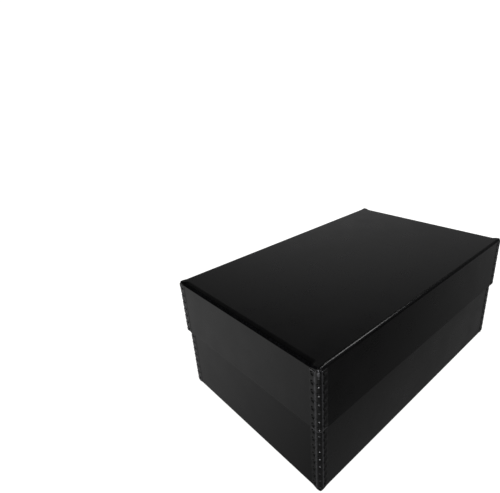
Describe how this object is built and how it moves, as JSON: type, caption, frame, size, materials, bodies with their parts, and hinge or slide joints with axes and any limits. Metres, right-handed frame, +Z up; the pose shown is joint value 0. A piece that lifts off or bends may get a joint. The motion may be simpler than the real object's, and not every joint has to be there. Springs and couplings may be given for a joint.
{
  "type": "archival box",
  "caption": "Rectangular black board storage box with a deep telescoping lift-off lid; walls joined at each corner by a stamped steel edge.",
  "frame": {"origin": "middle of the closed box's underside, on the surface it stands on", "axes": "+X along the length, +Y from the front long side to the back one, +Z up; the lid lifts along +Z"},
  "size_m": [0.311, 0.1906, 0.127],
  "materials": {
    "solid_board": "satin",
    "steel_edge": "satin"
  },
  "bodies": {
    "base": {"base_board": "solid_board", "base_edge_front_left": "steel_edge", "base_edge_front_right": "steel_edge", "base_edge_back_left": "steel_edge", "base_edge_back_right": "steel_edge"},
    "lid": {"lid_board": "solid_board", "lid_edge_front_left": "steel_edge", "lid_edge_front_right": "steel_edge", "lid_edge_back_left": "steel_edge", "lid_edge_back_right": "steel_edge"}
  },
  "joints": [
    {"name": "lid_lift", "type": "slide", "parent": "base", "child": "lid", "axis": [0, 0, 1], "range_m": [0, 0.1]}
  ]
}
